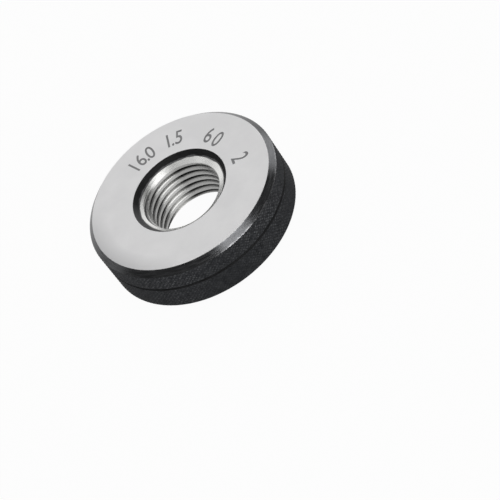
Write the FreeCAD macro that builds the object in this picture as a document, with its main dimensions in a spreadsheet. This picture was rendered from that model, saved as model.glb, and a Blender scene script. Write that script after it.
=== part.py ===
import FreeCAD, Part
import math
import os
import Sketcher

# Thread ring gauge of the NO-GO pattern, turned from one piece of tool steel.
# Frame: millimetres, +Z along the thread axis towards the marked face.
# The origin is at the middle of the plain face, on which the ring rests.

# Each driving size: alias, value, what it measures on the ring.
SIZES = [
    ("outside_diameter", 38.0, "over the rim"),
    ("ring_width", 10.7, "from the plain face to the marked face"),
    ("rim_chamfer", 1.1, "leg of the 45 degree chamfer at each end of the rim"),
    ("marker_below_face", 4.75, "from the marked face to the middle of the NO-GO groove"),
    ("marker_width", 0.6, "of the NO-GO groove at the rim"),
    ("marker_depth", 0.35, "of the NO-GO groove"),
    ("thread_diameter", 16.0, "nominal, over the thread roots"),
    ("thread_pitch", 1.5, "from one turn to the next"),
    ("flank_angle", 60.0, "between the two flanks of the thread, in degrees"),
    ("crest_height", 0.15, "of the cut-down crests, measured from the pitch line"),
    ("recess_diameter", 19.0, "of the recess at the marked face"),
    ("recess_taper", 0.9, "by which the recess narrows on each side"),
    ("recess_depth", 1.07, "of the recess below the marked face"),
    ("lead_in_depth", 0.6, "of the cone from the recess to the first crest"),
    ("exit_chamfer", 0.2, "leg of the 45 degree chamfer on the last crest, at the plain face"),
]

# A left-hand thread, seen from either face, recedes when it is turned anticlockwise.
LEFT_HAND_THREAD = True

# Width of the root, and of the groove at the pitch line, as shares of the pitch.
ROOT_FLAT = "1 / 8"
PITCH_LINE_WIDTH = "1 / 2"

# Height of a turn's root above the plain face where it crosses the XZ plane, in pitches.
FIRST_ROOT = "7 / 12"

# The cutting profile starts this share of a pitch inside the crests.
CUTTER_OVERLAP = "1 / 10"

os.makedirs("parts", exist_ok=True)
doc = FreeCAD.newDocument("thread_ring_gauge")

sheet = doc.addObject("Spreadsheet::Sheet", "sizes")
for row, (alias, value, meaning) in enumerate(SIZES, start=1):
    sheet.set(f"A{row}", alias)
    sheet.set(f"B{row}", str(value))
    sheet.set(f"C{row}", meaning)
    sheet.setAlias(f"B{row}", alias)
doc.recompute()

# Expressions that several features share.
OUTSIDE_RADIUS = "sizes.outside_diameter / 2"
ROOT_RADIUS = "sizes.thread_diameter / 2"
HALF_FLANK = "(sizes.flank_angle / 2 * 1deg)"
ROOT_BELOW_PITCH_LINE = (
    f"sizes.thread_pitch * ({PITCH_LINE_WIDTH} - {ROOT_FLAT}) / 2 / tan({HALF_FLANK})"
)
# A NO-GO thread touches its screw near the pitch line only, so its crests are cut down.
CREST_RADIUS = f"({ROOT_RADIUS} - {ROOT_BELOW_PITCH_LINE} - sizes.crest_height)"
LEAD_IN_TOP = "(sizes.ring_width - sizes.recess_depth)"
RECESS_RADIUS = "sizes.recess_diameter / 2"

body = doc.addObject("PartDesign::Body", "gauge_ring")
body.Label = "gauge_ring"


def origin_plane(role):
    """The origin plane of the ring's own body that has this role."""
    for feature in body.Origin.OriginFeatures:
        if feature.Role == role:
            return feature
    raise RuntimeError(f"no origin plane {role}")


def section_sketch(name):
    """An empty sketch on the axial section plane: x is the radius, y the height."""
    sketch = body.newObject("Sketcher::SketchObject", name)
    sketch.AttachmentSupport = [(origin_plane("XZ_Plane"), "")]
    sketch.MapMode = "FlatFace"
    return sketch


def closed_outline(sketch, corners):
    """Draw a closed outline, each corner held by expressions for its radius and height.

    A corner is (label, radius, height, rough point); the rough point only starts the solver.
    """
    count = len(corners)
    for index in range(count):
        start = FreeCAD.Vector(*corners[index][3], 0)
        end = FreeCAD.Vector(*corners[(index + 1) % count][3], 0)
        sketch.addGeometry(Part.LineSegment(start, end), False)
    for index in range(count):
        following = (index + 1) % count
        sketch.addConstraint(Sketcher.Constraint("Coincident", index, 2, following, 1))
    for index, (label, radius, height, rough) in enumerate(corners):
        hold(sketch, f"{label}_radius", "DistanceX", index, rough[0], radius)
        if height == "0":
            sketch.addConstraint(Sketcher.Constraint("PointOnObject", index, 1, -1))
        else:
            hold(sketch, f"{label}_height", "DistanceY", index, rough[1], height)


def hold(sketch, name, kind, line, rough, expression):
    """Bind one coordinate of a line's start, measured from the origin, to the sizes."""
    number = sketch.addConstraint(Sketcher.Constraint(kind, -1, 1, line, 1, rough))
    sketch.renameConstraint(number, name)
    sketch.setExpression(f"Constraints.{name}", expression)


def turned_feature(kind, name, sketch):
    """Turn a section sketch once round the ring's axis, to add or to cut."""
    feature = body.newObject(kind, name)
    feature.Profile = sketch
    feature.ReferenceAxis = (sketch, ["V_Axis"])
    feature.Angle = 360.0
    sketch.Visibility = False
    doc.recompute()
    return feature


def checked_cut(feature, volume_before):
    """A cut that takes nothing away shows no error, so the volumes are compared."""
    if not feature.Shape.Volume < volume_before:
        raise RuntimeError(f"{feature.Name} cut nothing")
    return feature.Shape.Volume


# Blank: the plain bored ring, with its bore at the crests of the thread.
blank_section = section_sketch("blank_section")
closed_outline(blank_section, [
    ("bore_foot", CREST_RADIUS, "0", (7.4, 0)),
    ("rim_foot", OUTSIDE_RADIUS, "0", (19, 0)),
    ("rim_head", OUTSIDE_RADIUS, "sizes.ring_width", (19, 11)),
    ("bore_head", CREST_RADIUS, "sizes.ring_width", (7.4, 11)),
])
blank = turned_feature("PartDesign::Revolution", "blank", blank_section)

# Rim: both ends of the rim are chamfered at 45 degrees.
rim_radius = sheet.outside_diameter / 2
rim_edges = []
for number, edge in enumerate(blank.Shape.Edges, start=1):
    if isinstance(edge.Curve, Part.Circle) and math.isclose(edge.Curve.Radius, rim_radius):
        rim_edges.append(f"Edge{number}")
rim_ends = body.newObject("PartDesign::Chamfer", "rim_ends")
rim_ends.Base = (blank, rim_edges)
rim_ends.setExpression("Size", "sizes.rim_chamfer")
doc.recompute()
volume = checked_cut(rim_ends, blank.Shape.Volume)

# Mouth at the marked face: a tapered recess, then the cone that leads to the first crest.
mouth_section = section_sketch("mouth_section")
closed_outline(mouth_section, [
    ("axis_foot", CREST_RADIUS + " / 2", f"{LEAD_IN_TOP} - sizes.lead_in_depth", (4, 9)),
    ("first_crest", CREST_RADIUS, f"{LEAD_IN_TOP} - sizes.lead_in_depth", (7, 9)),
    ("recess_foot", f"{RECESS_RADIUS} - sizes.recess_taper", LEAD_IN_TOP, (8.6, 9.6)),
    ("recess_head", RECESS_RADIUS, "sizes.ring_width", (9.5, 11)),
    ("axis_head", CREST_RADIUS + " / 2", "sizes.ring_width", (4, 11)),
])
mouth = turned_feature("PartDesign::Groove", "mouth", mouth_section)
volume = checked_cut(mouth, volume)

# Lower mouth: a small chamfer takes the feather edge off the last crest.
exit_section = section_sketch("exit_section")
closed_outline(exit_section, [
    ("axis_foot", CREST_RADIUS + " / 2", "0", (4, 0)),
    ("exit_foot", f"{CREST_RADIUS} + sizes.exit_chamfer", "0", (7.6, 0)),
    ("last_crest", CREST_RADIUS, "sizes.exit_chamfer", (7.4, 0.2)),
    ("axis_head", CREST_RADIUS + " / 2", "sizes.exit_chamfer", (4, 0.2)),
])
lower_mouth = turned_feature("PartDesign::Groove", "lower_mouth", exit_section)
volume = checked_cut(lower_mouth, volume)

# Marker: the fine groove round the rim that tells a NO-GO ring from a GO ring.
MARKER_HEIGHT = "sizes.ring_width - sizes.marker_below_face"
marker_section = section_sketch("marker_section")
closed_outline(marker_section, [
    ("lower_lip", OUTSIDE_RADIUS, f"{MARKER_HEIGHT} - sizes.marker_width / 2", (19, 6.1)),
    ("upper_lip", OUTSIDE_RADIUS, f"{MARKER_HEIGHT} + sizes.marker_width / 2", (19, 6.7)),
    ("root", f"{OUTSIDE_RADIUS} - sizes.marker_depth", MARKER_HEIGHT, (18.6, 6.4)),
])
marker = turned_feature("PartDesign::Groove", "marker", marker_section)
volume = checked_cut(marker, volume)

# Thread: one groove of the 60 degree profile, swept past both mouths.
ROOT_HALF = f"sizes.thread_pitch * {ROOT_FLAT} / 2"
INNER_RADIUS = f"({CREST_RADIUS} - sizes.thread_pitch * {CUTTER_OVERLAP})"
INNER_HALF = f"({ROOT_HALF} + ({ROOT_RADIUS} - {INNER_RADIUS}) * tan({HALF_FLANK}))"
CUTTER_HEIGHT = f"sizes.thread_pitch * ({FIRST_ROOT} - 2)"
thread_section = section_sketch("thread_section")
closed_outline(thread_section, [
    ("inner_lower", INNER_RADIUS, f"{CUTTER_HEIGHT} - {INNER_HALF}", (7, -2.9)),
    ("root_lower", ROOT_RADIUS, f"{CUTTER_HEIGHT} - {ROOT_HALF}", (8, -2.3)),
    ("root_upper", ROOT_RADIUS, f"{CUTTER_HEIGHT} + {ROOT_HALF}", (8, -2.2)),
    ("inner_upper", INNER_RADIUS, f"{CUTTER_HEIGHT} + {INNER_HALF}", (7, -1.6)),
])
thread = body.newObject("PartDesign::SubtractiveHelix", "thread")
thread.Profile = thread_section
thread.ReferenceAxis = (thread_section, ["V_Axis"])
thread.Mode = 0
thread.setExpression("Pitch", "sizes.thread_pitch")
thread.setExpression("Height", "sizes.ring_width + sizes.thread_pitch * 3")
thread.LeftHanded = LEFT_HAND_THREAD
# Each turn of the crests stays a face of its own.
thread.Refine = False
thread_section.Visibility = False
doc.recompute()
checked_cut(thread, volume)
body.Tip = thread
doc.recompute()

# Every object must be sound, and the ring one valid solid, before it is written.
for item in doc.Objects:
    if "Invalid" in item.State or "Error" in item.State:
        raise RuntimeError(f"{item.Name} failed: {item.State}")
ring = body.Shape
if ring.isNull() or not ring.isValid() or len(ring.Solids) != 1:
    raise RuntimeError("gauge_ring is not one valid solid")
ring.exportStep(f"parts/{body.Label}.step")
print(f"{body.Label}: {ring.Volume:.1f} mm3, {ring.Area:.1f} mm2, box {ring.BoundBox}")
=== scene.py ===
# %% [markdown]
# # A thread ring gauge
#
# A ring gauge is a thick ring of hardened steel with a precise thread in its bore. An inspector
# turns it on to a screw: a NO-GO ring, such as this one, must refuse to go further than two turns.
# This lesson makes the ring as a workshop would: knurl a bar, turn it to shape, tap the bore and
# etch the face. Each tool is a mesh of its own, and a Boolean modifier makes the cut.

# %% Load the measured ring
import math

import bmesh
import bpy
from mathutils import Matrix, Vector


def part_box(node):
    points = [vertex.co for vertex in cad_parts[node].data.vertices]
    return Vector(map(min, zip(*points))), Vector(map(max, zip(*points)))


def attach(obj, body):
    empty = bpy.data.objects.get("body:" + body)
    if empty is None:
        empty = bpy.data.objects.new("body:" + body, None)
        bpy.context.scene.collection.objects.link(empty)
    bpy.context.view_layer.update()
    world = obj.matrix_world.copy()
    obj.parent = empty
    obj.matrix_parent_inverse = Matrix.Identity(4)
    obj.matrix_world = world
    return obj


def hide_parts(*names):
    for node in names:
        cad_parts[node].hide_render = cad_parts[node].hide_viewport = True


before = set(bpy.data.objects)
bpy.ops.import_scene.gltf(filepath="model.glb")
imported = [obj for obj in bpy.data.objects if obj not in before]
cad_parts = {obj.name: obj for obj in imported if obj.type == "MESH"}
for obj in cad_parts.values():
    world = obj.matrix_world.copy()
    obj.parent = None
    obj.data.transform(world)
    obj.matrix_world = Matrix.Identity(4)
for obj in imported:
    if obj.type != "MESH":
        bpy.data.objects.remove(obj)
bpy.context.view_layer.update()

print("measured solids loaded:", len(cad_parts))

# %% [markdown]
# ## Sizes
#
# Blender works in metres here and a workshop in millimetres, so every length below is written in
# millimetres and multiplied by `MM`. The outside diameter and the width are read from the measured
# ring, and the other sizes are the ones that a turner would find on the drawing.

# %% Sizes of the ring
MM = 0.001
low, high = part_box("gauge_ring")
WIDTH = high.z - low.z
RIM_RADIUS = (high.x - low.x) / 2
CHAMFER = 1.1 * MM
FACE_RADIUS = RIM_RADIUS - CHAMFER
MARKER_HEIGHT = WIDTH - 4.75 * MM
MARKER_HALF_WIDTH = 0.3 * MM
MARKER_DEPTH = 0.35 * MM
RECESS_RADIUS = 9.5 * MM
RECESS_FOOT_RADIUS = 8.6 * MM
RECESS_DEPTH = 1.07 * MM
LEAD_IN_DEPTH = 0.6 * MM
ROOT_RADIUS = 8.0 * MM
CREST_RADIUS = 7.363 * MM
EXIT_CHAMFER = 0.2 * MM
EXIT_RADIUS = CREST_RADIUS + EXIT_CHAMFER
PITCH = 1.5 * MM


print("rim radius", round(RIM_RADIUS / MM, 3), "width", round(WIDTH / MM, 3), "mm")


# %% [markdown]
# ## Helpers for edit mode
#
# An edit-mode operator acts on whatever is selected. By hand you would click on a rim or a cap;
# a script has to say which one by its place. `pick` selects the faces, edges or vertices that pass
# a test, and `radius_of` gives a point's distance from the ring's axis for such a test.

# %% Pick parts of a mesh by place
def radius_of(point):
    return math.hypot(point.x, point.y)


def near(value, target, tolerance=0.004 * MM):
    return abs(value - target) < tolerance


def pick(kind, test):
    """Select the 'VERT', 'EDGE' or 'FACE' elements of the mesh in edit mode that pass the test."""
    bpy.ops.mesh.select_mode(type=kind)
    bpy.ops.mesh.select_all(action='DESELECT')
    mesh = bmesh.from_edit_mesh(bpy.context.object.data)
    pool = {'VERT': mesh.verts, 'EDGE': mesh.edges, 'FACE': mesh.faces}[kind]
    chosen = 0
    for element in pool:
        if test(element):
            element.select_set(True)
            chosen += 1
    mesh.select_flush_mode()
    bmesh.update_edit_mesh(bpy.context.object.data)
    return chosen


# %% Open and close a piece
DOUBLES_WITHIN = 0.0005 * MM


def start_piece(name):
    """Name the primitive that was just added, and open it in edit mode."""
    piece = bpy.context.object
    piece.name = name
    piece.data.name = name
    bpy.ops.object.mode_set(mode='EDIT')
    return piece


def end_piece(piece):
    """Merge doubles, turn the faces outwards, and leave edit mode with the place in the mesh."""
    bpy.ops.mesh.select_all(action='SELECT')
    bpy.ops.mesh.remove_doubles(threshold=DOUBLES_WITHIN)
    bpy.ops.mesh.normals_make_consistent(inside=False)
    bpy.ops.object.mode_set(mode='OBJECT')
    bpy.ops.object.transform_apply(location=True, rotation=True, scale=True)
    print(piece.name, "has", len(piece.data.polygons), "faces")


# %% [markdown]
# ## The knurled bar
#
# The rim is gripped by hand, so it is knurled: two sets of slanting grooves leave small diamonds.
# A bump texture could fake them, but their silhouette and the cut edge at the chamfer would stay
# smooth, so they are real here. A circle is extruded upwards in equal rows, which gives a net of
# near-square faces. Poking each face and dissolving the old net leaves only the diagonals: diamonds
# standing on their points. One inset with a depth then raises them all into flat-topped pyramids.

# %% Knurl a bar
KNURL_COLUMNS = 152
KNURL_ROWS = 17
KNURL_HEIGHT = 0.055 * MM
KNURL_SLOPE_WIDTH = 0.13 * MM
KNURL_BELOW_RIM = 0.004 * MM
BAR_OVERLENGTH = 0.9 * MM

groove_radius = RIM_RADIUS - KNURL_HEIGHT - KNURL_BELOW_RIM
row_height = (WIDTH + 2 * BAR_OVERLENGTH) / KNURL_ROWS

bpy.ops.object.select_all(action='DESELECT')
bpy.ops.mesh.primitive_circle_add(vertices=KNURL_COLUMNS, radius=groove_radius,
                                  fill_type='NOTHING', location=(0, 0, -BAR_OVERLENGTH))
bar = start_piece("knurled_bar")
bpy.ops.mesh.select_all(action='SELECT')
for _ in range(KNURL_ROWS):
    bpy.ops.mesh.extrude_region_move(TRANSFORM_OT_translate={"value": (0, 0, row_height)})


def runs_on_old_net(edge):
    """Edges of the first net run level or upright, and those made by poking run slantwise."""
    along = edge.verts[1].co - edge.verts[0].co
    level = near(along.z, 0)
    upright = near(radius_of(along), 0)
    return (level or upright) and not edge.is_boundary


bpy.ops.mesh.select_all(action='SELECT')
bpy.ops.mesh.normals_make_consistent(inside=False)
bpy.ops.mesh.poke()
dissolved = pick('EDGE', runs_on_old_net)
bpy.ops.mesh.dissolve_edges(use_verts=False)
bpy.ops.mesh.select_mode(type='FACE')
bpy.ops.mesh.select_all(action='DESELECT')
bpy.ops.mesh.select_face_by_sides(number=4, type='EQUAL')
bpy.ops.mesh.inset(thickness=KNURL_SLOPE_WIDTH, depth=KNURL_HEIGHT, use_individual=True)
bpy.ops.mesh.select_all(action='SELECT')
bpy.ops.mesh.fill_holes(sides=0)
end_piece(bar)
print("dissolved", dissolved, "edges of the first net")

# %% [markdown]
# ## The turned blank
#
# Everything else about the outside is turned on a lathe. The blank starts as a cylinder a little
# wider than the bar, so that only its chamfers, faces and groove will touch the knurl. Both rim
# edges are bevelled by one segment. Three bisecting planes draw rings round it, and the middle ring
# is scaled inwards, which leaves the V-shaped groove that marks a NO-GO ring.

# %% Turn the outside
BLANK_RADIUS = RIM_RADIUS + 0.5 * MM
TURNED_STEPS = 304

bpy.ops.object.select_all(action='DESELECT')
bpy.ops.mesh.primitive_cylinder_add(vertices=TURNED_STEPS, radius=BLANK_RADIUS, depth=WIDTH,
                                    end_fill_type='NGON', location=(0, 0, WIDTH / 2))
bpy.ops.object.transform_apply(location=True)
blank = start_piece("turned_blank")
pick('EDGE', lambda edge: near(edge.verts[0].co.z, edge.verts[1].co.z))
bpy.ops.mesh.bevel(offset=BLANK_RADIUS - FACE_RADIUS, offset_type='OFFSET', segments=1,
                   affect='EDGES')

groove_spread = MARKER_HALF_WIDTH * (MARKER_DEPTH + BLANK_RADIUS - RIM_RADIUS) / MARKER_DEPTH
for height in (MARKER_HEIGHT - groove_spread, MARKER_HEIGHT, MARKER_HEIGHT + groove_spread):
    bpy.ops.mesh.select_all(action='SELECT')
    bpy.ops.mesh.bisect(plane_co=(0, 0, height), plane_no=(0, 0, 1))
groove_corners = pick('VERT', lambda vert: near(vert.co.z, MARKER_HEIGHT))
shrink = (RIM_RADIUS - MARKER_DEPTH) / BLANK_RADIUS
bpy.ops.transform.resize(value=(shrink, shrink, 1), center_override=(0, 0, 0))
print("corners at the bottom of the marker groove:", groove_corners)

# %% [markdown]
# The bore is worked from each end. `step_to` extrudes the selected cap and scales it to the next
# radius, the way a boring tool is fed from one size to the next: at the marked face the tapered
# recess and the short cone that leads a screw to the first turn, and at the plain face a small
# chamfer. The two caps that are left are deleted, and a bridge between their rims makes the wall
# of the bore. A tiny bevel takes the edge off each face.

# %% Bore it from both faces
EDGE_BREAK = 0.03 * MM
CAP_SLOPE = 0.999


def step_to(old_radius, new_radius, climb):
    bpy.ops.mesh.extrude_region_move(TRANSFORM_OT_translate={"value": (0, 0, climb)})
    factor = new_radius / old_radius
    bpy.ops.transform.resize(value=(factor, factor, 1), center_override=(0, 0, 0))


def is_cap(face):
    return abs(face.normal.z) > CAP_SLOPE


def is_face_rim(edge):
    """Whether the edge runs round one of the two flat faces."""
    start = edge.verts[0].co
    end = edge.verts[1].co
    at_a_face = near(start.z, 0) or near(start.z, WIDTH)
    return at_a_face and near(start.z, end.z) and near(radius_of(start), radius_of(end))


bpy.ops.mesh.select_all(action='SELECT')
bpy.ops.mesh.normals_make_consistent(inside=False)
pick('FACE', lambda face: is_cap(face) and face.normal.z > 0)
step_to(FACE_RADIUS, RECESS_RADIUS, 0)
step_to(RECESS_RADIUS, RECESS_FOOT_RADIUS, -RECESS_DEPTH)
step_to(RECESS_FOOT_RADIUS, CREST_RADIUS, -LEAD_IN_DEPTH)
bpy.ops.mesh.delete(type='FACE')
pick('FACE', lambda face: is_cap(face) and face.normal.z < 0)
step_to(FACE_RADIUS, EXIT_RADIUS, 0)
step_to(EXIT_RADIUS, CREST_RADIUS, EXIT_CHAMFER)
bpy.ops.mesh.delete(type='FACE')
pick('EDGE', lambda edge: edge.is_boundary)
bpy.ops.mesh.bridge_edge_loops()

face_edges = pick('EDGE', is_face_rim)
bpy.ops.mesh.bevel(offset=EDGE_BREAK, offset_type='OFFSET', segments=1, affect='EDGES')
end_piece(blank)
print("edges broken:", face_edges)

# %% [markdown]
# ## The tap
#
# An internal thread is one long spiral groove. Its section is a narrow trapezium with flanks 60
# degrees apart, and the Screw modifier carries that section round the axis while it sinks by one
# pitch a turn. Sinking while it turns anticlockwise makes the thread left-handed. The section
# starts inside the bore, so the Boolean never meets two surfaces in the same place.

# %% Grind the tap
THREAD_TURNS = 10
STEPS_PER_TURN = 120
ROOT_FLAT = PITCH / 8
HALF_FLANK = math.radians(30)
TAP_INNER_RADIUS = CREST_RADIUS - 0.15 * MM
FIRST_ROOT_HEIGHT = PITCH * 7 / 12
TURNS_ABOVE_FIRST_ROOT = 7

tap_reach = ROOT_RADIUS - TAP_INNER_RADIUS
inner_width = ROOT_FLAT + 2 * tap_reach * math.tan(HALF_FLANK)
tap_start = FIRST_ROOT_HEIGHT + TURNS_ABOVE_FIRST_ROOT * PITCH

bpy.ops.object.select_all(action='DESELECT')
bpy.ops.mesh.primitive_plane_add(size=1, rotation=(math.pi / 2, 0, 0),
                                 location=(TAP_INNER_RADIUS + tap_reach / 2, 0, tap_start))
bpy.context.object.scale = (tap_reach, inner_width, 1)
bpy.ops.object.transform_apply(location=True, rotation=True, scale=True)
tap = start_piece("tap")
pick('VERT', lambda vert: near(vert.co.x, ROOT_RADIUS))
bpy.ops.transform.resize(value=(1, 1, ROOT_FLAT / inner_width),
                         center_override=(0, 0, tap_start))
bpy.ops.mesh.select_all(action='SELECT')
bpy.ops.mesh.delete(type='ONLY_FACE')
bpy.ops.object.mode_set(mode='OBJECT')

screw = tap.modifiers.new("turns", 'SCREW')
screw.axis = 'Z'
screw.angle = 2 * math.pi
screw.screw_offset = -PITCH
screw.iterations = THREAD_TURNS
screw.steps = STEPS_PER_TURN
screw.render_steps = STEPS_PER_TURN
screw.use_smooth_shade = False
bpy.ops.object.modifier_apply(modifier=screw.name)
bpy.ops.object.mode_set(mode='EDIT')
bpy.ops.mesh.select_all(action='SELECT')
bpy.ops.mesh.fill_holes(sides=4)
end_piece(tap)

# %% [markdown]
# ## The etched numbers
#
# The marks stand in an arc round the bore, and each character has its feet towards the axis. So
# every character is a text object of its own: it is made a mesh first, then turned and moved to its
# place. Together they are one more cutting tool, a stamp that reaches a few hundredths of a
# millimetre into the face. They give the thread's diameter, its pitch and its angle, and the most
# turns that a good screw may go in.

# %% Set the numbers
# Each mark: character, degrees clockwise from the back, and the radius of its feet in millimetres.
MARKS = [("1", -19.8, 11.5), ("6", -11.6, 11.6), (".", -6.6, 11.6), ("0", -1.8, 11.6),
         ("1", 15.4, 11.6), (".", 19.6, 11.6), ("5", 25.2, 11.6),
         ("6", 54.6, 11.0), ("0", 65.6, 10.6),
         ("2", 102.0, 11.0)]
LETTER_SIZE = 4.85 * MM
LETTER_WIDTH = 0.74
LETTER_WEIGHT = 0.03 * MM
LETTER_CURVE_STEPS = 6
ETCH_DEPTH = 0.05 * MM
STAMP_HEIGHT = 0.3 * MM

letters = []
for character, clockwise, foot_mm in MARKS:
    bpy.ops.object.select_all(action='DESELECT')
    bpy.ops.object.text_add(location=(0, 0, 0))
    letter = bpy.context.object
    letter.data.body = character
    letter.data.align_x = 'CENTER'
    letter.data.size = LETTER_SIZE
    letter.data.offset = LETTER_WEIGHT
    letter.data.extrude = (STAMP_HEIGHT + ETCH_DEPTH) / 2
    letter.data.resolution_u = LETTER_CURVE_STEPS
    bpy.ops.object.convert(target='MESH')
    turn = math.radians(clockwise)
    letter.scale = (LETTER_WIDTH, 1, 1)
    letter.rotation_euler = (0, 0, -turn)
    letter.location = (foot_mm * MM * math.sin(turn), foot_mm * MM * math.cos(turn),
                       WIDTH + (STAMP_HEIGHT - ETCH_DEPTH) / 2)
    bpy.ops.object.transform_apply(location=True, rotation=True, scale=True)
    letters.append(letter)

bpy.ops.object.select_all(action='DESELECT')
for letter in letters:
    letter.select_set(True)
bpy.context.view_layer.objects.active = letters[0]
bpy.ops.object.join()
stamp = start_piece("stamp")
end_piece(stamp)

# %% [markdown]
# ## Shader nodes as sentences
#
# A material made by hand is a web of nodes. In a script each of the small functions below adds one
# node, sets or links its inputs and gives back its output, so that a formula reads almost as it
# would on paper.

# %% Link and calculate
def feed(tree, value, socket):
    """Link a socket to a socket, or set a plain value on it."""
    if isinstance(value, bpy.types.NodeSocket):
        tree.links.new(value, socket)
    else:
        socket.default_value = value


def link_to(tree, node, **sources):
    """Link each source to the node's input of that name. An underscore stands for a space."""
    for label, source in sources.items():
        tree.links.new(source, node.inputs[label.replace("_", " ")])


def math_node(tree, operation, *values):
    node = tree.nodes.new('ShaderNodeMath')
    node.operation = operation
    for value, socket in zip(values, node.inputs):
        feed(tree, value, socket)
    return node.outputs[0]


def between(tree, share, ends):
    """The value that lies this share of the way from the first end to the second."""
    return math_node(tree, 'MULTIPLY_ADD', share, ends[1] - ends[0], ends[0])


def vector_node(tree, operation, first, second=None, scale=None):
    """One step of vector arithmetic. A length or a dot product comes out as a plain number."""
    node = tree.nodes.new('ShaderNodeVectorMath')
    node.operation = operation
    feed(tree, first, node.inputs[0])
    if second is not None:
        feed(tree, second, node.inputs[1])
    if scale is not None:
        feed(tree, scale, node.inputs['Scale'])
    gives_number = operation in ('LENGTH', 'DOT_PRODUCT')
    return node.outputs['Value' if gives_number else 'Vector']


# %% Noise, ranges and colours
MIX_COLOUR_A = 6
MIX_COLOUR_B = 7
MIX_COLOUR_RESULT = 2


def noise_node(tree, vector, scale, detail=2.0, roughness=0.5):
    node = tree.nodes.new('ShaderNodeTexNoise')
    feed(tree, vector, node.inputs['Vector'])
    feed(tree, scale, node.inputs['Scale'])
    node.inputs['Detail'].default_value = detail
    node.inputs['Roughness'].default_value = roughness
    return node.outputs['Fac']


def spread(tree, value, source, target=(0.0, 1.0)):
    """Map the source range on to the target range, without going past its ends."""
    node = tree.nodes.new('ShaderNodeMapRange')
    for amount, socket in zip((value, *source, *target), node.inputs):
        feed(tree, amount, socket)
    return node.outputs['Result']


def mix_colours(tree, factor, first, second):
    """The Mix node has sockets for numbers, vectors and colours, so the colour ones go by number."""
    node = tree.nodes.new('ShaderNodeMix')
    node.data_type = 'RGBA'
    feed(tree, factor, node.inputs['Factor'])
    feed(tree, first, node.inputs[MIX_COLOUR_A])
    feed(tree, second, node.inputs[MIX_COLOUR_B])
    return node.outputs[MIX_COLOUR_RESULT]


# %% Make a group, and use one
def new_group(name, inputs, outputs):
    """An empty shader group. Input sockets are (name, type, default), and outputs (name, type)."""
    group = bpy.data.node_groups.new(name, 'ShaderNodeTree')
    for label, kind, default in inputs:
        socket = group.interface.new_socket(name=label, in_out='INPUT', socket_type=kind)
        socket.default_value = default
    for label, kind in outputs:
        group.interface.new_socket(name=label, in_out='OUTPUT', socket_type=kind)
    return group, group.nodes.new('NodeGroupInput'), group.nodes.new('NodeGroupOutput')


def use_group(tree, group, **values):
    """Drop a group into a tree and set its inputs. An underscore stands for a space."""
    node = tree.nodes.new('ShaderNodeGroup')
    node.node_tree = group
    for label, value in values.items():
        node.inputs[label.replace("_", " ")].default_value = value
    return node.outputs


# %% [markdown]
# ## Shared shader groups
#
# Some effects are wanted in more than one finish, so each is a node group, built once and dropped
# into every material that needs it with its own values. The first turns a point of the ring into
# workshop terms: its distance from the axis and its height, both in millimetres, and the direction
# in which it lies from the axis.

# %% Where on the ring is this point?
ring_place, _, place_out = new_group(
    "ring_place", [],
    [("Radius", 'NodeSocketFloat'), ("Height", 'NodeSocketFloat'),
     ("Direction", 'NodeSocketVector'), ("Point", 'NodeSocketVector')])
coordinates = ring_place.nodes.new('ShaderNodeTexCoord')
point = vector_node(ring_place, 'SCALE', coordinates.outputs['Object'], scale=1 / MM)
flat = vector_node(ring_place, 'MULTIPLY', point, (1, 1, 0))
split = ring_place.nodes.new('ShaderNodeSeparateXYZ')
link_to(ring_place, split, Vector=point)
link_to(ring_place, place_out, Radius=vector_node(ring_place, 'LENGTH', flat),
        Height=split.outputs['Z'], Direction=vector_node(ring_place, 'NORMALIZE', flat),
        Point=point)


def place(tree):
    return use_group(tree, ring_place)


# %% [markdown]
# Several marks below favour one side of the ring, most of them painted light and shade. The second
# group gives a mask that is 1 on one side of the ring and fades out round from it. The dot product
# of two directions is the cosine of the angle between them, so the group takes the side as a
# direction and its reach as a cosine.

# %% Which side of the ring is it on?
ring_side, side_in, side_out = new_group(
    "ring_side",
    [("Side", 'NodeSocketVector', (1, 0, 0)), ("Fades out at", 'NodeSocketFloat', 0.5)],
    [("Mask", 'NodeSocketFloat')])
alike = vector_node(ring_side, 'DOT_PRODUCT', place(ring_side)['Direction'],
                    side_in.outputs['Side'])
link_to(ring_side, side_out,
        Mask=spread(ring_side, alike, (side_in.outputs['Fades out at'], 1.0)))


def towards(tree, side, spread_angle):
    """A mask that is 1 on the side of the ring at this angle and fades to 0 round from it."""
    return use_group(tree, ring_side, Side=(math.cos(side), math.sin(side), 0),
                     Fades_out_at=math.cos(spread_angle))['Mask']


# %% [markdown]
# A lathe tool leaves fine rings that run round the work and vary from one to the next. Noise gives
# that when it changes slowly along the direction round the ring and quickly across it. The third
# group does this, and its rings follow chamfers and cones as well as the straight bore.

# %% Turned grain
HEIGHT_TO_RADIUS = 1.7

turned_grain, grain_in, grain_out = new_group(
    "turned_grain",
    [("Rings per mm", 'NodeSocketFloat', 6.0), ("Breaks", 'NodeSocketFloat', 3.0)],
    [("Grain", 'NodeSocketFloat')])
where = place(turned_grain)
across = math_node(turned_grain, 'MULTIPLY_ADD', where['Height'], HEIGHT_TO_RADIUS,
                   where['Radius'])
across = math_node(turned_grain, 'MULTIPLY', across, grain_in.outputs['Rings per mm'])
lift = turned_grain.nodes.new('ShaderNodeCombineXYZ')
link_to(turned_grain, lift, Z=across)
around = vector_node(turned_grain, 'SCALE', where['Direction'], scale=grain_in.outputs['Breaks'])
grain_vector = vector_node(turned_grain, 'ADD', around, lift.outputs[0])
link_to(turned_grain, grain_out,
        Grain=noise_node(turned_grain, grain_vector, scale=1.0, detail=3.0, roughness=0.6))


def use_grain(tree, rings, breaks):
    return use_group(tree, turned_grain, Rings_per_mm=rings, Breaks=breaks)['Grain']
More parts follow.
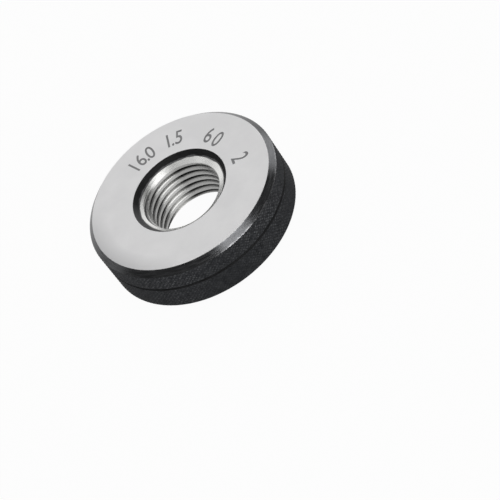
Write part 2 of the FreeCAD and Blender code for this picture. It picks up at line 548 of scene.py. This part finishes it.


# %% [markdown]
# Black oxide rubs off first where a hand or a table touches it: along the corners. All the ring's
# corners are circles, so the distance to one is found from the radius and the height alone. The
# fourth group gives a mask round one such circle, broken up by noise so that it looks handled. It
# places wear and stains, and on the chamfers one painted highlight too.

# %% Edge wear
PATCH_NOISE = (0.35, 0.7)
PATCH_REACH = (0.25, 1.6)
WEAR_FADES = (0.3, 1.0)

edge_mask, wear_in, wear_out = new_group(
    "edge_mask",
    [("Edge radius", 'NodeSocketFloat', 19.0), ("Edge height", 'NodeSocketFloat', 0.0),
     ("Reach", 'NodeSocketFloat', 0.2), ("Patches per mm", 'NodeSocketFloat', 1.3)],
    [("Mask", 'NodeSocketFloat')])
where = place(edge_mask)
off_radius = math_node(edge_mask, 'SUBTRACT', where['Radius'], wear_in.outputs['Edge radius'])
off_height = math_node(edge_mask, 'SUBTRACT', where['Height'], wear_in.outputs['Edge height'])
squares = math_node(edge_mask, 'ADD', math_node(edge_mask, 'POWER', off_radius, 2.0),
                    math_node(edge_mask, 'POWER', off_height, 2.0))
distance = math_node(edge_mask, 'SQRT', squares)
patches = noise_node(edge_mask, where['Point'], wear_in.outputs['Patches per mm'], detail=3.0,
                     roughness=0.6)
reach = math_node(edge_mask, 'MULTIPLY', wear_in.outputs['Reach'],
                  spread(edge_mask, patches, PATCH_NOISE, PATCH_REACH))
ratio = math_node(edge_mask, 'DIVIDE', distance, reach)
link_to(edge_mask, wear_out, Mask=spread(edge_mask, ratio, WEAR_FADES, (1.0, 0.0)))


def use_edge_mask(tree, edge_radius, edge_height, reach, patches_per_mm=1.3):
    return use_group(tree, edge_mask, Edge_radius=edge_radius / MM, Edge_height=edge_height / MM,
                     Reach=reach / MM, Patches_per_mm=patches_per_mm)['Mask']


# %% [markdown]
# The flat faces are lapped: rubbed on a plate with a fine paste, in every direction. That leaves
# hair-thin scratches with no common direction, and a faint haze. The last group layers three
# stretched noises, each turned another way, and keeps only their thin peaks. Only one finish needs
# it, but as a group it keeps that finish short to read.

# %% Lapping scratches
SCRATCH_TURNS = (17, 71, 128)
SCRATCH_STRETCH = (9, 0.5, 1)
SCRATCH_PEAKS = (0.56, 0.72)
HAZE_PER_MM = 0.16

lapping, lap_in, lap_out = new_group(
    "lapping", [("Scratches per mm", 'NodeSocketFloat', 5.0)],
    [("Scratches", 'NodeSocketFloat'), ("Haze", 'NodeSocketFloat')])
where = place(lapping)
total = 0.0
for degrees in SCRATCH_TURNS:
    turned = lapping.nodes.new('ShaderNodeMapping')
    turned.vector_type = 'TEXTURE'
    turned.inputs['Rotation'].default_value = (0, 0, math.radians(degrees))
    turned.inputs['Scale'].default_value = SCRATCH_STRETCH
    link_to(lapping, turned, Vector=where['Point'])
    lines = noise_node(lapping, turned.outputs[0], lap_in.outputs['Scratches per mm'], detail=1.0)
    total = math_node(lapping, 'ADD', spread(lapping, lines, SCRATCH_PEAKS), total)
haze = noise_node(lapping, where['Point'], HAZE_PER_MM, detail=3.0, roughness=0.55)
link_to(lapping, lap_out, Scratches=total, Haze=haze)
print("shader groups:", [group.name for group in bpy.data.node_groups])


# %% [markdown]
# ## The finishes
#
# Each finish is a Principled BSDF. Values that are the same all over the surface are set on the
# shader itself, and only what varies is linked. `bump` turns a height into a normal: the strength
# says how much of it is used, and the depth how deep it would be in metres. Noise stays mostly near
# its middle value, so each finish stretches the middle of its noise over the whole range.

# %% Start a finish
SHALLOW = 0.004 * MM
TOOL_MARKS = 0.02 * MM
MIDDLE_OF_NOISE = (0.35, 0.65)
MORE_OF_NOISE = (0.3, 0.7)


def new_finish(name, **constants):
    material = bpy.data.materials.new(name)
    material.use_nodes = True
    shader = material.node_tree.nodes['Principled BSDF']
    for label, value in constants.items():
        shader.inputs[label.replace("_", " ")].default_value = value
    return material, material.node_tree, shader


def bump(tree, shader, height, strength, depth):
    node = tree.nodes.new('ShaderNodeBump')
    node.inputs['Strength'].default_value = strength
    node.inputs['Distance'].default_value = depth
    link_to(tree, node, Height=height)
    link_to(tree, shader, Normal=node.outputs['Normal'])


# %% [markdown]
# Lapped steel mirrors a panel softly, and its scratches scatter much of the light. So it is made
# half metal and half pale paint: the face stays light, and the numbers on it easy to read, from
# behind as well. Near the rim on one side it is painted greyer, as painted shade.

# %% Lapped steel, for the two flat faces
LAPPED_PALE = (0.843, 0.840, 0.843, 1)
LAPPED_DEEP = (0.787, 0.784, 0.789, 1)
LAPPED_PAINTED_SHADE = (0.57, 0.57, 0.575, 1)
LAPPED_ROUGHNESS = (0.29, 0.34)
SCRATCH_ROUGHNESS = 0.05
PAINTED_SHADE_FROM = 14.6 * MM
PAINTED_SHADE_SIDE = math.radians(195)
PAINTED_SHADE_SPREAD = math.radians(50)

lapped, tree, shader = new_finish("lapped_steel", Metallic=0.5)
lap = use_group(tree, lapping, Scratches_per_mm=5.0)
haze_share = spread(tree, lap['Haze'], MIDDLE_OF_NOISE)
# Painted shade: the face is painted greyer near the rim on one side.
near_rim = spread(tree, place(tree)['Radius'], (PAINTED_SHADE_FROM / MM, FACE_RADIUS / MM))
face_shade = math_node(tree, 'MULTIPLY', near_rim, towards(tree, PAINTED_SHADE_SIDE, PAINTED_SHADE_SPREAD))
colour = mix_colours(tree, haze_share, LAPPED_DEEP, LAPPED_PALE)
colour = mix_colours(tree, face_shade, colour, LAPPED_PAINTED_SHADE)
roughness = math_node(tree, 'MULTIPLY_ADD', lap['Scratches'], SCRATCH_ROUGHNESS,
                      between(tree, haze_share, LAPPED_ROUGHNESS))
link_to(tree, shader, Base_Color=colour, Roughness=roughness)
bump(tree, shader, lap['Scratches'], strength=0.06, depth=SHALLOW)

# %% [markdown]
# Black oxide is steel turned black by a hot salt bath and then oiled. It isn't a metal to look at:
# almost no colour of its own, and a soft gloss from the oil. The knurl's flat tops are a little
# greyer than its grooves, partly from rubbing and partly as painted glints, so the mask for that is
# the distance from the axis, broken up by noise. The band above the marker groove gets most of it,
# as painted light above and painted shade below, and two sides of the ring get painted highlights.

# %% Black oxide, for the knurled rim
OXIDE_DEEP = (0.024, 0.0251, 0.0275, 1)
OXIDE_PALE = (0.045, 0.0465, 0.0498, 1)
OXIDE_RUBBED_AND_LIT = (0.16, 0.164, 0.172, 1)
OXIDE_ROUGHNESS = (0.45, 0.57)
MOTTLE_NOISE = (0.35, 0.68)
GRIT_NOISE = (0.42, 0.66)
GRIT_RUBBED = (0.0, 0.8)
TOPS_REACH = 0.05 * MM
RIM_SHADE_BELOW_LIGHT_ABOVE = (0.15, 0.5)
RIM_SHADE_FADES = 0.8 * MM
RIM_HIGHLIGHT_SIDES = (math.radians(232), math.radians(302))
RIM_HIGHLIGHT_SPREAD = math.radians(28)
RIM_HIGHLIGHT_AT_SIDE = 0.6

oxide, tree, shader = new_finish("black_oxide", Metallic=0.0, IOR=1.1)
where = place(tree)
mottle = noise_node(tree, where['Point'], scale=0.9, detail=4.0, roughness=0.6)
mottle = spread(tree, mottle, MOTTLE_NOISE)
colour = mix_colours(tree, mottle, OXIDE_DEEP, OXIDE_PALE)
# The knurl tops: partly real rubbing, partly painted glints.
tops = spread(tree, where['Radius'], ((RIM_RADIUS - TOPS_REACH) / MM, RIM_RADIUS / MM))
grit = noise_node(tree, where['Point'], scale=2.6)
rubbed_and_lit = math_node(tree, 'MULTIPLY', tops, spread(tree, grit, GRIT_NOISE, GRIT_RUBBED))
# Painted light and shade: tops above the marker groove are painted lighter than those below.
fade = ((MARKER_HEIGHT - RIM_SHADE_FADES) / MM, (MARKER_HEIGHT + RIM_SHADE_FADES) / MM)
rim_light_and_shade = spread(tree, where['Height'], fade, RIM_SHADE_BELOW_LIGHT_ABOVE)
# Painted highlights on two sides of the rim.
for side in RIM_HIGHLIGHT_SIDES:
    highlight_side = towards(tree, side, RIM_HIGHLIGHT_SPREAD)
    rim_light_and_shade = math_node(tree, 'MULTIPLY_ADD', highlight_side, RIM_HIGHLIGHT_AT_SIDE, rim_light_and_shade)
rubbed_and_lit = math_node(tree, 'MULTIPLY', rubbed_and_lit, rim_light_and_shade)
link_to(tree, shader, Base_Color=mix_colours(tree, rubbed_and_lit, colour, OXIDE_RUBBED_AND_LIT),
        Roughness=between(tree, mottle, OXIDE_ROUGHNESS))
bump(tree, shader, grit, strength=0.25, depth=TOOL_MARKS)

# %% [markdown]
# The recess and the marker groove are sheltered, so they keep the dull black of the bath. A low
# index of refraction makes them mirror little. In the recess the black is thin in patches at the
# foot, where screws knock against it, and the wall is lighter along one side.

# %% Dull black, for the recess and the groove
DULL_DEEP = (0.010, 0.0102, 0.0106, 1)
DULL_PALE = (0.024, 0.0245, 0.0255, 1)
DULL_THIN_AND_LIGHTER = (0.16, 0.16, 0.165, 1)
DULL_ROUGHNESS = (0.42, 0.54)
FOOT_THIN_REACH = 0.3 * MM
RECESS_LIGHTER_SIDE = math.radians(212)
RECESS_LIGHTER_SPREAD = math.radians(60)
LIGHTER_IN_AND_OUT = (0.8, 0.0)

dull, tree, shader = new_finish("sheltered_black", Metallic=0.0, IOR=1.25)
grain = use_grain(tree, rings=6.0, breaks=5.0)
shade = spread(tree, grain, MIDDLE_OF_NOISE)
foot_height = WIDTH - RECESS_DEPTH
thin_and_lighter = use_edge_mask(tree, RECESS_FOOT_RADIUS, foot_height, FOOT_THIN_REACH, patches_per_mm=0.5)
# The recess wall is made lighter along one side.
in_recess = spread(tree, place(tree)['Radius'], (RECESS_RADIUS / MM, FACE_RADIUS / MM),
                   LIGHTER_IN_AND_OUT)
lighter_side = math_node(tree, 'MULTIPLY', towards(tree, RECESS_LIGHTER_SIDE, RECESS_LIGHTER_SPREAD), in_recess)
thin_and_lighter = math_node(tree, 'MAXIMUM', thin_and_lighter, lighter_side)
colour = mix_colours(tree, shade, DULL_DEEP, DULL_PALE)
link_to(tree, shader, Base_Color=mix_colours(tree, thin_and_lighter, colour, DULL_THIN_AND_LIGHTER),
        Roughness=between(tree, shade, DULL_ROUGHNESS))
bump(tree, shader, grain, strength=0.3, depth=TOOL_MARKS)

# %% [markdown]
# The chamfers were turned before the bath, so they are black too, but smooth and much glossier.
# Their sheen comes in streaks, because the turning rings scatter it. Where the black meets the
# marked face it is worn through to bare steel. One stretch of the lip above the knurl is painted
# the same pale steel, as a painted highlight that carries on the streak. The edge mask mixes both
# in.

# %% Turned black, for the chamfers
BLACK_DEEP = (0.10, 0.102, 0.106, 1)
BLACK_PALE = (0.17, 0.172, 0.178, 1)
BARE_STEEL_AND_HIGHLIGHT = (0.37, 0.37, 0.38, 1)
BLACK_ROUGHNESS = (0.18, 0.32)
FACE_EDGE_WORN = 0.12 * MM
RECESS_EDGE_WORN = 0.1 * MM
LIP_HIGHLIGHT_REACH = 0.3 * MM
LIP_HIGHLIGHT_SIDE = math.radians(305)
LIP_HIGHLIGHT_SPREAD = math.radians(50)

glossy, tree, shader = new_finish("turned_black", Metallic=1.0)
grain = use_grain(tree, rings=7.0, breaks=9.0)
streaks = spread(tree, grain, MORE_OF_NOISE)
worn_and_lit = math_node(tree, 'MAXIMUM', use_edge_mask(tree, FACE_RADIUS, WIDTH, FACE_EDGE_WORN),
                 use_edge_mask(tree, RECESS_RADIUS, WIDTH, RECESS_EDGE_WORN))
# Painted highlight: a stretch of the lip on one side is painted pale steel.
lip_highlight = math_node(tree, 'MULTIPLY', use_edge_mask(tree, RIM_RADIUS, WIDTH - CHAMFER, LIP_HIGHLIGHT_REACH),
                towards(tree, LIP_HIGHLIGHT_SIDE, LIP_HIGHLIGHT_SPREAD))
worn_and_lit = math_node(tree, 'MAXIMUM', worn_and_lit, lip_highlight)
colour = mix_colours(tree, streaks, BLACK_DEEP, BLACK_PALE)
link_to(tree, shader, Base_Color=mix_colours(tree, worn_and_lit, colour, BARE_STEEL_AND_HIGHLIGHT),
        Roughness=between(tree, streaks, BLACK_ROUGHNESS))
bump(tree, shader, grain, strength=0.15, depth=TOOL_MARKS)

# %% [markdown]
# The thread is ground after hardening, which leaves it bright, and its grain runs along the turns.
# The roots are painted dark as painted shade, which grows with the distance from the axis. The
# whole thread is painted darker than the cone above it, also as painted shade. One side is left
# out of both, so a painted highlight runs down the thread there. At the top of the cone a little
# of the recess's black comes over the corner.

# %% Ground steel, for the thread and the lead-in
GROUND_PALE = (0.93, 0.93, 0.915, 1)
GROUND_DEEP = (0.84, 0.84, 0.825, 1)
GROUND_PAINTED_SHADE = (0.59, 0.59, 0.58, 1)
BATH_STAIN_AND_SHADE = (0.09, 0.09, 0.092, 1)
GROUND_ROUGHNESS = (0.25, 0.30)
ROOT_SHADE_STARTS = 0.12 * MM
ROOT_SHADE_IS_FULL = 0.38 * MM
ROOT_SHADE_SHARE = (0.0, 0.95)
STAIN_OVER_CORNER = 0.3 * MM
THREAD_HIGHLIGHT_SIDE = math.radians(102)
THREAD_HIGHLIGHT_SPREAD = math.radians(25)
THREAD_HEAD = WIDTH - RECESS_DEPTH - LEAD_IN_DEPTH
THREAD_SHADE_FADES = 0.06 * MM

ground, tree, shader = new_finish("ground_steel", Metallic=1.0)
where = place(tree)
grain = use_grain(tree, rings=5.0, breaks=6.0)
streaks = spread(tree, grain, MORE_OF_NOISE)
colour = mix_colours(tree, streaks, GROUND_DEEP, GROUND_PALE)

head = (THREAD_HEAD / MM, (THREAD_HEAD + THREAD_SHADE_FADES) / MM)
in_thread = spread(tree, where['Height'], head, (1.0, 0.0))
# Painted shade over the thread, left out on one side as a painted highlight.
away_from_highlight = math_node(tree, 'SUBTRACT', 1.0, towards(tree, THREAD_HIGHLIGHT_SIDE, THREAD_HIGHLIGHT_SPREAD))
thread_shade = math_node(tree, 'MULTIPLY', in_thread, away_from_highlight)
colour = mix_colours(tree, thread_shade, colour, GROUND_PAINTED_SHADE)

# Painted shade in the thread roots.
root_shade_range = ((CREST_RADIUS + ROOT_SHADE_STARTS) / MM, (CREST_RADIUS + ROOT_SHADE_IS_FULL) / MM)
root_shade = spread(tree, where['Radius'], root_shade_range, ROOT_SHADE_SHARE)
stain_and_shade = use_edge_mask(tree, RECESS_FOOT_RADIUS, foot_height, STAIN_OVER_CORNER, patches_per_mm=0.22)
stain_and_shade = math_node(tree, 'MAXIMUM', stain_and_shade, math_node(tree, 'MULTIPLY', root_shade, thread_shade))
link_to(tree, shader, Base_Color=mix_colours(tree, stain_and_shade, colour, BATH_STAIN_AND_SHADE),
        Roughness=between(tree, streaks, GROUND_ROUGHNESS))
bump(tree, shader, grain, strength=0.03, depth=TOOL_MARKS)

# %% [markdown]
# The numbers are bitten into the face by acid, which leaves the floor of each stroke rough, pitted
# and with little of the metal's shine. It doesn't mirror the panel that brightens the face, and
# that makes the numbers easy to read.

# %% Etched grey, for the numbers
ETCH_PALE = (0.34, 0.34, 0.345, 1)
ETCH_DEEP = (0.21, 0.21, 0.214, 1)
ETCH_ROUGHNESS = (0.5, 0.75)

etched, tree, shader = new_finish("etched_mark", Metallic=0.3)
pits = noise_node(tree, place(tree)['Point'], scale=6.0, detail=3.0, roughness=0.7)
pit_share = spread(tree, pits, MIDDLE_OF_NOISE)
link_to(tree, shader, Base_Color=mix_colours(tree, pit_share, ETCH_DEEP, ETCH_PALE),
        Roughness=spread(tree, pits, MORE_OF_NOISE, ETCH_ROUGHNESS))
bump(tree, shader, pits, strength=0.5, depth=TOOL_MARKS)

# %% [markdown]
# ## Cutting the ring
#
# Each tool gets its finish before it cuts. A Boolean with `material_mode` set to TRANSFER leaves
# the tool's own finish on the surface that it cuts, as a real tool would, so nothing has to be
# painted afterwards. On the blank, each face gets its finish by its place.

# %% Give each tool its finish
NEARLY_LEVEL = 0.85
LEVEL = 0.99
CONE_MARGIN = 0.02 * MM
WALL_MARGIN = 0.1 * MM


def finish_faces(piece, rules):
    """Give every face the first finish whose test it passes."""
    for material, _ in rules:
        piece.data.materials.append(material)
    for polygon in piece.data.polygons:
        for index, (_, test) in enumerate(rules):
            if test(polygon):
                polygon.material_index = index
                break
    print(piece.name, "wears", sorted({material.name for material, _ in rules}))


def is_lapped(face):
    tilt = abs(face.normal.z)
    return tilt > LEVEL or (tilt > NEARLY_LEVEL and radius_of(face.center) > RECESS_RADIUS)


finish_faces(bar, [(oxide, lambda face: True)])
finish_faces(tap, [(ground, lambda face: True)])
finish_faces(stamp, [(etched, lambda face: True)])
finish_faces(blank, [
    (lapped, is_lapped),
    (ground, lambda face: radius_of(face.center) < RECESS_FOOT_RADIUS - CONE_MARGIN),
    (dull, lambda face: radius_of(face.center) < RECESS_RADIUS - WALL_MARGIN),
    (dull, lambda face: near(face.center.z, MARKER_HEIGHT, groove_spread)),
    (glossy, lambda face: True),
])


# %% [markdown]
# The bar and the blank are each too big where the other one is right. What they have in common is
# the knurled rim between its chamfers, so the first cut keeps only that. The tap and the stamp are
# then taken away from it.

# %% Knurl, turn, tap and stamp
def cut(piece, tool, operation):
    """Apply one Boolean with a tool, and throw the tool away."""
    bpy.ops.object.select_all(action='DESELECT')
    piece.select_set(True)
    bpy.context.view_layer.objects.active = piece
    boolean = piece.modifiers.new("cut", 'BOOLEAN')
    boolean.object = tool
    boolean.operation = operation
    boolean.solver = 'MANIFOLD'
    boolean.material_mode = 'TRANSFER'
    bpy.ops.object.modifier_apply(modifier=boolean.name)
    bpy.data.objects.remove(tool)
    print("after the cut:", len(piece.data.polygons), "faces")


cut(bar, blank, 'INTERSECT')
cut(bar, tap, 'DIFFERENCE')
cut(bar, stamp, 'DIFFERENCE')

# %% [markdown]
# The result is one solid. Where a cut passes a hair from an old corner, it leaves two corners in
# almost the same place, and these are merged. The ring's name says what it is now, its faces are
# shaded smooth except where two of them meet at more than a few degrees, and it takes the place of
# the plain measured ring.

# %% Finish the solid
SMOOTH_ANGLE = math.radians(14)
HAIR = 0.0002 * MM

ring = bar
ring.name = "thread_ring"
ring.data.name = "thread_ring"
corners = len(ring.data.vertices)
bpy.ops.object.mode_set(mode='EDIT')
bpy.ops.mesh.select_all(action='SELECT')
bpy.ops.mesh.remove_doubles(threshold=HAIR)
bpy.ops.object.mode_set(mode='OBJECT')
print("corners merged:", corners - len(ring.data.vertices))
bpy.ops.object.shade_smooth_by_angle(angle=SMOOTH_ANGLE)
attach(ring, "root")
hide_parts("gauge_ring")
ring.data.calc_loop_triangles()
print("finishes:", [material.name for material in ring.data.materials])
print("triangles:", len(ring.data.loop_triangles))

# %% [markdown]
# ## Camera
#
# A long lens far away keeps the two ends of the ring nearly the same size, as in a product
# photograph. The camera looks down at 44 degrees and is rolled, so that the ring seems to lean to
# the left. A camera's own axes are right, up and backwards; here they are worked out and written
# straight into its matrix. It aims a little beside the ring, because the ring isn't in the middle
# of the picture.

# %% Place the camera
ELEVATION = math.radians(44.1)
ROLL = math.radians(35.94)
LENS_MM = 150
SENSOR_MM = 36
CAMERA_DISTANCE = 379.3 * MM
CLIP_START = 10 * MM
AIM_RIGHT = 12.92 * MM
AIM_UP = -11.0 * MM

toward_camera = Vector((0, -math.cos(ELEVATION), math.sin(ELEVATION)))
level_right = Vector((1, 0, 0))
level_up = toward_camera.cross(level_right)
right = math.cos(ROLL) * level_right - math.sin(ROLL) * level_up
up = toward_camera.cross(right)
aim = Vector((0, 0, WIDTH)) + AIM_RIGHT * right + AIM_UP * up
stand = aim + CAMERA_DISTANCE * toward_camera

bpy.ops.object.camera_add()
camera = bpy.context.object
camera.name = "camera"
camera.data.lens = LENS_MM
camera.data.sensor_width = SENSOR_MM
camera.data.clip_start = CLIP_START
camera.matrix_world = Matrix((
    (right.x, up.x, toward_camera.x, stand.x),
    (right.y, up.y, toward_camera.y, stand.y),
    (right.z, up.z, toward_camera.z, stand.z),
    (0, 0, 0, 1)))
bpy.context.scene.camera = camera
print("camera stands at", [round(value, 3) for value in stand])

# %% [markdown]
# ## Floor
#
# The picture's background is pure white. More light on a pale floor would burn out the steel too,
# so the floor helps itself: to the camera, and in reflections, part of it glows. The rest is an
# ordinary pale surface, which is why the ring's shadow still falls on it.

# %% Lay the floor
WHITE = (1, 1, 1, 1)
PAPER = (0.8, 0.8, 0.8, 1)
PAPER_ROUGHNESS = 0.9
FLOOR_SIZE = 4.0
FLOOR_DROP = 0.02 * MM
FLOOR_GLOW = 0.96
FLOOR_GLOW_IN_STEEL = 0.45


def mix_shaders(tree, factor, first, second, output):
    """Send a mixture of two shaders to the tree's output node."""
    node = tree.nodes.new('ShaderNodeMixShader')
    for source, socket in zip((factor, first, second), node.inputs):
        tree.links.new(source, socket)
    link_to(tree, output, Surface=node.outputs[0])


bpy.ops.mesh.primitive_plane_add(size=FLOOR_SIZE, location=(0, 0, -FLOOR_DROP))
floor = bpy.context.object
floor.name = "floor"
paper, tree, shader = new_finish("white_paper", Base_Color=PAPER, Roughness=PAPER_ROUGHNESS)
path = tree.nodes.new('ShaderNodeLightPath')
seen = math_node(tree, 'MULTIPLY', path.outputs['Is Camera Ray'], FLOOR_GLOW)
mirrored = math_node(tree, 'MULTIPLY', path.outputs['Is Glossy Ray'], FLOOR_GLOW_IN_STEEL)
glow = tree.nodes.new('ShaderNodeEmission')
glow.inputs['Color'].default_value = WHITE
mix_shaders(tree, math_node(tree, 'MAXIMUM', seen, mirrored), shader.outputs[0],
            glow.outputs[0], tree.nodes['Material Output'])
floor.data.materials.append(paper)
print("floor laid", FLOOR_DROP / MM, "mm below the ring")

# %% [markdown]
# ## Light
#
# Polished steel shows what is around it, so the lamps are placed by reflection. The panel behind the
# ring is what the flat face mirrors, and those at the sides light the ends of the chamfer. The two
# overhead feed the thread and the cone, and the card in front lights the rim. A small key lamp near
# the camera finds one stretch of the chamfer and makes the streak there.

# %% Hang the lamps
# Each lamp: name, direction from the ring, distance, width and height in metres, and radiance.
LAMPS = [
    ("back_panel", (0, 0.78, 0.62), 1.0, 1.45, 1.15, 0.81),
    ("right_panel", (0.85, 0.48, 0.22), 1.0, 0.6, 0.5, 1.4),
    ("left_panel", (-0.8, 0.5, 0.28), 1.0, 0.5, 0.5, 0.35),
    ("top_panel", (0.17, -0.2, 0.96), 1.0, 0.54, 0.5, 1.35),
    ("second_top_panel", (-0.42, 0.12, 0.9), 1.0, 0.7, 0.6, 0.44),
    ("front_card", (0, -0.97, 0.24), 1.0, 1.2, 0.4, 2.3),
    ("key", (0.25, -0.64, 0.73), 0.9, 0.49, 0.12, 4.1),
]

for name, direction, distance_m, width_m, height_m, radiance in LAMPS:
    bpy.ops.object.light_add(type='AREA')
    lamp = bpy.context.object
    lamp.name = name
    lamp.data.shape = 'RECTANGLE'
    lamp.data.size = width_m
    lamp.data.size_y = height_m
    # The power follows from how bright the panel should look.
    lamp.data.energy = radiance * math.pi * width_m * height_m
    where_to = Vector(direction).normalized()
    lamp.location = where_to * distance_m
    lamp.rotation_euler = where_to.to_track_quat('Z', 'Y').to_euler()
    lamp.visible_camera = False
    print(name, "gives", round(lamp.data.energy, 2), "W")

# %% [markdown]
# The world fills the rest with a dim grey. The camera alone sees it white, so that the picture's
# edges match the floor.

# %% Fill with the world
WORLD_FILL = (0.12, 0.12, 0.12, 1)

world = bpy.data.worlds.new("studio")
bpy.context.scene.world = world
world.use_nodes = True
tree = world.node_tree
fill = tree.nodes['Background']
fill.inputs['Color'].default_value = WORLD_FILL
backdrop = tree.nodes.new('ShaderNodeBackground')
backdrop.inputs['Color'].default_value = WHITE
path = tree.nodes.new('ShaderNodeLightPath')
mix_shaders(tree, path.outputs['Is Camera Ray'], fill.outputs[0], backdrop.outputs[0],
            tree.nodes['World Output'])
bpy.context.scene.view_settings.view_transform = 'Standard'

# %% [markdown]
# The dressed ring must be no larger than the measured one.
